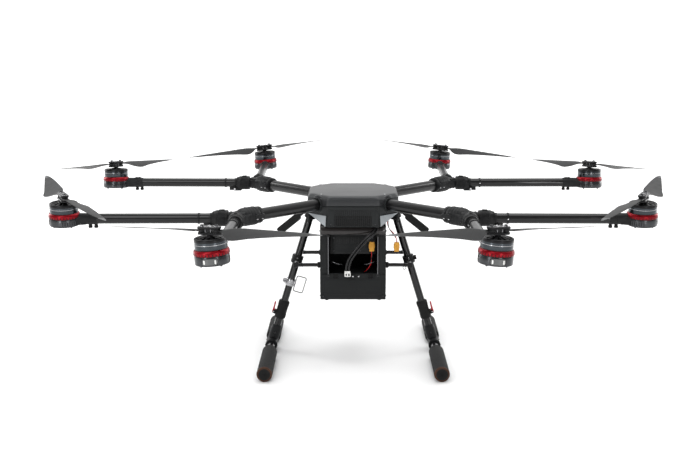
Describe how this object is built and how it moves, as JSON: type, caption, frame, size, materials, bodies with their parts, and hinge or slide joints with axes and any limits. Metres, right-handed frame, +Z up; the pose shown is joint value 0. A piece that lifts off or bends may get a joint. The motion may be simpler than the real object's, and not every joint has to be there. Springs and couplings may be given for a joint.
{
  "type": "agricultural spray drone",
  "caption": "Agricultural multirotor drone with branching fold-down arms, canted motors with folding propellers, a hub with top cover, splayed skid legs and a battery box slung under the hub.",
  "frame": {"origin": "on the ground, midway along and across the overall box, under the middle of the hub", "axes": "+Z up, the nose faces -Y, +X is the drone's left-to-right direction seen from the front"},
  "size_m": [1.6692, 1.665, 0.495],
  "materials": {
    "cover_grey": "satin dark grey metallic paint",
    "shell_grey": "semi-gloss moulded plastic",
    "carbon_tube": "gloss carbon fibre",
    "motor_grey": "anodised dark grey",
    "blade_black": "matt composite",
    "leg_black": "gloss carbon fibre",
    "foam_black": "foam rubber",
    "lever_red": "red moulded plastic",
    "wire_steel": "bright wire",
    "box_black": "satin black",
    "module_black": "matt black",
    "antenna_black": "textured black",
    "cable_black": "glossy silicone",
    "wire_red": "silicone wire",
    "plug_amber": "amber nylon",
    "plug_white": "white nylon"
  },
  "bodies": {
    "airframe": {"hub_shell": "shell_grey", "top_cover": "cover_grey", "flight_controller": "module_black", "main_arm_front_left": "carbon_tube", "main_arm_rear_left": "carbon_tube", "main_arm_rear_right": "carbon_tube", "main_arm_front_right": "carbon_tube", "leg_left": "leg_black", "leg_right": "leg_black", "skid_left": "foam_black", "skid_right": "foam_black", "cradle_left": "leg_black", "cradle_right": "leg_black", "battery_box": "box_black", "power_module": "module_black", "battery_pack": "module_black", "main_lead_a": "cable_black", "main_lead_b": "cable_black", "main_plug": "plug_white", "module_lead": "wire_red", "module_plug": "plug_amber", "side_lead": "wire_red", "side_plug": "plug_amber"},
    "outer_arm_1": {"outer_arm_1": "carbon_tube"},
    "rotor_1": {"rotor_1": "motor_grey"},
    "blade_1a": {"blade_1a": "blade_black"},
    "blade_1b": {"blade_1b": "blade_black"},
    "outer_arm_2": {"outer_arm_2": "carbon_tube"},
    "rotor_2": {"rotor_2": "motor_grey"},
    "blade_2a": {"blade_2a": "blade_black"},
    "blade_2b": {"blade_2b": "blade_black"},
    "outer_arm_3": {"outer_arm_3": "carbon_tube"},
    "rotor_3": {"rotor_3": "motor_grey"},
    "blade_3a": {"blade_3a": "blade_black"},
    "blade_3b": {"blade_3b": "blade_black"},
    "outer_arm_4": {"outer_arm_4": "carbon_tube"},
    "rotor_4": {"rotor_4": "motor_grey"},
    "blade_4a": {"blade_4a": "blade_black"},
    "blade_4b": {"blade_4b": "blade_black"},
    "outer_arm_5": {"outer_arm_5": "carbon_tube"},
    "rotor_5": {"rotor_5": "motor_grey"},
    "blade_5a": {"blade_5a": "blade_black"},
    "blade_5b": {"blade_5b": "blade_black"},
    "outer_arm_6": {"outer_arm_6": "carbon_tube"},
    "rotor_6": {"rotor_6": "motor_grey"},
    "blade_6a": {"blade_6a": "blade_black"},
    "blade_6b": {"blade_6b": "blade_black"},
    "outer_arm_7": {"outer_arm_7": "carbon_tube"},
    "rotor_7": {"rotor_7": "motor_grey"},
    "blade_7a": {"blade_7a": "blade_black"},
    "blade_7b": {"blade_7b": "blade_black"},
    "outer_arm_8": {"outer_arm_8": "carbon_tube"},
    "rotor_8": {"rotor_8": "motor_grey"},
    "blade_8a": {"blade_8a": "blade_black"},
    "blade_8b": {"blade_8b": "blade_black"},
    "latch_lever_left": {"latch_lever_left": "lever_red"},
    "antenna_left": {"antenna_left": "antenna_black"},
    "latch_lever_right": {"latch_lever_right": "lever_red"},
    "antenna_right": {"antenna_right": "antenna_black"},
    "wire_bail": {"wire_bail": "wire_steel"}
  },
  "joints": [
    {"name": "arm_fold_1", "type": "hinge", "parent": "airframe", "child": "outer_arm_1", "pos_m": [-0.28423, -0.34899, 0.407], "axis": [0.9998, -0.0187, 0], "range_deg": [0, 90]},
    {"name": "prop_spin_1", "type": "hinge", "parent": "outer_arm_1", "child": "rotor_1", "pos_m": [-0.29084, -0.70215, 0.424], "axis": [-0.0697, 0.0013, 0.9976], "continuous": true},
    {"name": "blade_fold_1a", "type": "hinge", "parent": "rotor_1", "child": "blade_1a", "pos_m": [-0.27875, -0.71053, 0.47899], "axis": [0.0697, -0.0013, -0.9976], "range_deg": [-75, 75]},
    {"name": "blade_fold_1b", "type": "hinge", "parent": "rotor_1", "child": "blade_1b", "pos_m": [-0.31046, -0.69363, 0.47675], "axis": [-0.0697, 0.0013, 0.9976], "range_deg": [-75, 75]},
    {"name": "arm_fold_2", "type": "hinge", "parent": "airframe", "child": "outer_arm_2", "pos_m": [-0.34899, -0.28423, 0.407], "axis": [0.0187, -0.9998, 0], "range_deg": [0, 90]},
    {"name": "prop_spin_2", "type": "hinge", "parent": "outer_arm_2", "child": "rotor_2", "pos_m": [-0.70215, -0.29084, 0.424], "axis": [0.0013, -0.0697, 0.9976], "continuous": true},
    {"name": "blade_fold_2a", "type": "hinge", "parent": "rotor_2", "child": "blade_2a", "pos_m": [-0.69349, -0.31039, 0.47675], "axis": [-0.0013, 0.0697, -0.9976], "range_deg": [-69.2, 80.8]},
    {"name": "blade_fold_2b", "type": "hinge", "parent": "rotor_2", "child": "blade_2b", "pos_m": [-0.71067, -0.27883, 0.47898], "axis": [0.0013, -0.0697, 0.9976], "range_deg": [-69.2, 80.8]},
    {"name": "arm_fold_3", "type": "hinge", "parent": "airframe", "child": "outer_arm_3", "pos_m": [-0.34899, 0.28423, 0.407], "axis": [-0.0187, -0.9998, 0], "range_deg": [0, 90]},
    {"name": "prop_spin_3", "type": "hinge", "parent": "outer_arm_3", "child": "rotor_3", "pos_m": [-0.70215, 0.29084, 0.424], "axis": [0.0013, 0.0697, 0.9976], "continuous": true},
    {"name": "blade_fold_3a", "type": "hinge", "parent": "rotor_3", "child": "blade_3a", "pos_m": [-0.69349, 0.31039, 0.47675], "axis": [0.0013, 0.0697, 0.9976], "range_deg": [-75, 75]},
    {"name": "blade_fold_3b", "type": "hinge", "parent": "rotor_3", "child": "blade_3b", "pos_m": [-0.71067, 0.27883, 0.47898], "axis": [-0.0013, -0.0697, -0.9976], "range_deg": [-75, 75]},
    {"name": "arm_fold_4", "type": "hinge", "parent": "airframe", "child": "outer_arm_4", "pos_m": [-0.28423, 0.34899, 0.407], "axis": [-0.9998, -0.0187, 0], "range_deg": [0, 90]},
    {"name": "prop_spin_4", "type": "hinge", "parent": "outer_arm_4", "child": "rotor_4", "pos_m": [-0.29084, 0.70215, 0.424], "axis": [-0.0697, -0.0013, 0.9976], "continuous": true},
    {"name": "blade_fold_4a", "type": "hinge", "parent": "rotor_4", "child": "blade_4a", "pos_m": [-0.27875, 0.71053, 0.47899], "axis": [-0.0697, -0.0013, 0.9976], "range_deg": [-75, 75]},
    {"name": "blade_fold_4b", "type": "hinge", "parent": "rotor_4", "child": "blade_4b", "pos_m": [-0.31046, 0.69363, 0.47675], "axis": [0.0697, 0.0013, -0.9976], "range_deg": [-75, 75]},
    {"name": "arm_fold_5", "type": "hinge", "parent": "airframe", "child": "outer_arm_5", "pos_m": [0.28423, 0.34899, 0.407], "axis": [-0.9998, 0.0187, 0], "range_deg": [0, 90]},
    {"name": "prop_spin_5", "type": "hinge", "parent": "outer_arm_5", "child": "rotor_5", "pos_m": [0.29084, 0.70215, 0.424], "axis": [0.0697, -0.0013, 0.9976], "continuous": true},
    {"name": "blade_fold_5a", "type": "hinge", "parent": "rotor_5", "child": "blade_5a", "pos_m": [0.31046, 0.69363, 0.47675], "axis": [0.0697, -0.0013, 0.9976], "range_deg": [-75, 75]},
    {"name": "blade_fold_5b", "type": "hinge", "parent": "rotor_5", "child": "blade_5b", "pos_m": [0.27875, 0.71053, 0.47899], "axis": [-0.0697, 0.0013, -0.9976], "range_deg": [-75, 75]},
    {"name": "arm_fold_6", "type": "hinge", "parent": "airframe", "child": "outer_arm_6", "pos_m": [0.34899, 0.28423, 0.407], "axis": [-0.0187, 0.9998, 0], "range_deg": [0, 90]},
    {"name": "prop_spin_6", "type": "hinge", "parent": "outer_arm_6", "child": "rotor_6", "pos_m": [0.70215, 0.29084, 0.424], "axis": [-0.0013, 0.0697, 0.9976], "continuous": true},
    {"name": "blade_fold_6a", "type": "hinge", "parent": "rotor_6", "child": "blade_6a", "pos_m": [0.71067, 0.27883, 0.47898], "axis": [-0.0013, 0.0697, 0.9976], "range_deg": [-75, 75]},
    {"name": "blade_fold_6b", "type": "hinge", "parent": "rotor_6", "child": "blade_6b", "pos_m": [0.69349, 0.31039, 0.47675], "axis": [0.0013, -0.0697, -0.9976], "range_deg": [-75, 75]},
    {"name": "arm_fold_7", "type": "hinge", "parent": "airframe", "child": "outer_arm_7", "pos_m": [0.34899, -0.28423, 0.407], "axis": [0.0187, 0.9998, 0], "range_deg": [0, 90]},
    {"name": "prop_spin_7", "type": "hinge", "parent": "outer_arm_7", "child": "rotor_7", "pos_m": [0.70215, -0.29084, 0.424], "axis": [-0.0013, -0.0697, 0.9976], "continuous": true},
    {"name": "blade_fold_7a", "type": "hinge", "parent": "rotor_7", "child": "blade_7a", "pos_m": [0.71067, -0.27883, 0.47898], "axis": [0.0013, 0.0697, -0.9976], "range_deg": [-69.2, 80.8]},
    {"name": "blade_fold_7b", "type": "hinge", "parent": "rotor_7", "child": "blade_7b", "pos_m": [0.69349, -0.31039, 0.47675], "axis": [-0.0013, -0.0697, 0.9976], "range_deg": [-69.2, 80.8]},
    {"name": "arm_fold_8", "type": "hinge", "parent": "airframe", "child": "outer_arm_8", "pos_m": [0.28423, -0.34899, 0.407], "axis": [0.9998, 0.0187, 0], "range_deg": [0, 90]},
    {"name": "prop_spin_8", "type": "hinge", "parent": "outer_arm_8", "child": "rotor_8", "pos_m": [0.29084, -0.70215, 0.424], "axis": [0.0697, 0.0013, 0.9976], "continuous": true},
    {"name": "blade_fold_8a", "type": "hinge", "parent": "rotor_8", "child": "blade_8a", "pos_m": [0.31046, -0.69363, 0.47675], "axis": [-0.0697, -0.0013, -0.9976], "range_deg": [-75, 75]},
    {"name": "blade_fold_8b", "type": "hinge", "parent": "rotor_8", "child": "blade_8b", "pos_m": [0.27875, -0.71053, 0.47899], "axis": [0.0697, 0.0013, 0.9976], "range_deg": [-75, 75]},
    {"name": "latch_open_left", "type": "hinge", "parent": "airframe", "child": "latch_lever_left", "pos_m": [-0.21838, 0, 0.11049], "axis": [0, -1, 0], "range_deg": [0, 95]},
    {"name": "antenna_swivel_left", "type": "hinge", "parent": "airframe", "child": "antenna_left", "pos_m": [-0.13, -0.045, 0.3975], "axis": [0, -1, 0], "range_deg": [-30, 45]},
    {"name": "latch_open_right", "type": "hinge", "parent": "airframe", "child": "latch_lever_right", "pos_m": [0.21838, 0, 0.11049], "axis": [0, 1, 0], "range_deg": [0, 95]},
    {"name": "antenna_swivel_right", "type": "hinge", "parent": "airframe", "child": "antenna_right", "pos_m": [0.13, -0.045, 0.3975], "axis": [0, 1, 0], "range_deg": [-30, 45]},
    {"name": "bail_swing", "type": "hinge", "parent": "airframe", "child": "wire_bail", "pos_m": [-0.15835, 0, 0.18889], "axis": [0.2912, 0, 0.9567], "range_deg": [-80, 80]}
  ]
}
